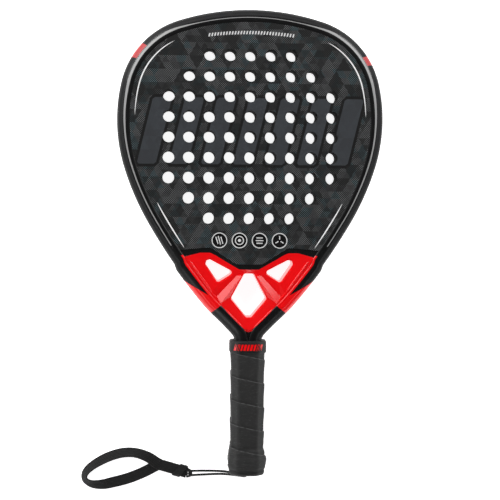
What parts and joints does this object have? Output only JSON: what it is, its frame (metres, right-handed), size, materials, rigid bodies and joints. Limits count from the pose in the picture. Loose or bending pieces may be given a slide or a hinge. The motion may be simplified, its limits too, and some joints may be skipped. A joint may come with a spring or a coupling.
{
  "type": "padel racket",
  "caption": "Padel racket: hollow carbon frame, drilled faces on a foam core, open red throat bridge, wrapped handle and a wrist strap with a sliding keeper.",
  "frame": {"origin": "on the surface that the racket lies on, under the middle of its length and width, leaving out the strap", "axes": "+X to the right across the head, +Y along the handle's centreline towards the crown, +Z out of the front face"},
  "size_m": [0.2923, 0.4731, 0.038],
  "materials": {
    "carbon_frame": "gloss clear coat over woven carbon, with red and pale grey paint",
    "fill_foam": "rigid foam",
    "red_bridge": "gloss red lacquer",
    "eva_foam": "cut closed-cell EVA foam",
    "carbon_face": "satin carbon laminate with a fine raised hexagon grain",
    "pallet_foam": "moulded polyurethane",
    "grip_cushion": "perforated cushion band",
    "grip_wrap": "matt tacky polyurethane wrap, creased",
    "tape": "vinyl tape",
    "collar_rubber": "satin rubber with a dull red printed band",
    "cap_plastic": "satin moulded plastic",
    "staple_steel": "zinc-plated wire",
    "cord": "braided polyester cord",
    "webbing": "ribbed woven webbing"
  },
  "bodies": {
    "racket": {"frame_tube": "carbon_frame", "frame_foam": "fill_foam", "throat_bridge": "red_bridge", "foam_core": "eva_foam", "front_face": "carbon_face", "rear_face": "carbon_face", "handle_pallet": "pallet_foam", "cushion_grip": "grip_cushion", "overgrip": "grip_wrap", "finishing_tape": "tape", "rubber_collar": "collar_rubber", "butt_cap": "cap_plastic", "cap_staples": "staple_steel", "cord_knot": "cord", "leash_cord": "cord", "strap_tab": "webbing", "wrist_loop": "webbing"},
    "keeper": {"strap_keeper": "webbing"}
  },
  "joints": [
    {"name": "keeper_slide", "type": "slide", "parent": "racket", "child": "keeper", "axis": [-0.9597, 0.2809, 0], "range_m": [0, 0.012]}
  ]
}
